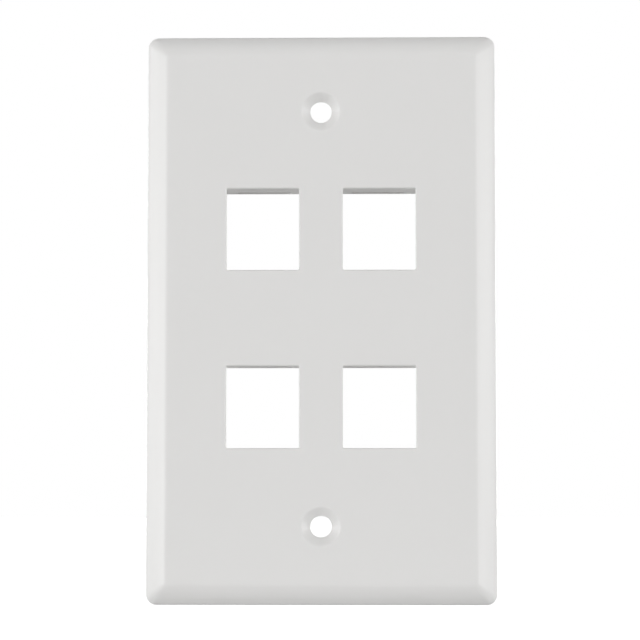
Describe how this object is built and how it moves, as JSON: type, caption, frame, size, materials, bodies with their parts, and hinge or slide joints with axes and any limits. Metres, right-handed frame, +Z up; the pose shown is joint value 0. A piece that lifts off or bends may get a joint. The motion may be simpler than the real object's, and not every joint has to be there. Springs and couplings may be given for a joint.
{
  "type": "keystone faceplate",
  "caption": "Upright rectangular wall plate with a flat face, rounded bevels and square openings backed by latch frames that hold keystone jacks. Countersunk screws fix it to a wall box.",
  "frame": {"origin": "midway between the two screw holes, in the plane of the rim that bears on the wall", "axes": "+Z up as hung, +X to the right seen from the front, and the face looks along -Y; the latch frames reach 4.2 mm behind the rim plane, into the wall box"},
  "size_m": [0.0704, 0.0098, 0.1148],
  "materials": {
    "white_plastic": "satin moulded thermoplastic with a very fine spark-eroded texture"
  },
  "bodies": {
    "root": {"faceplate": "white_plastic"}
  },
  "joints": []
}
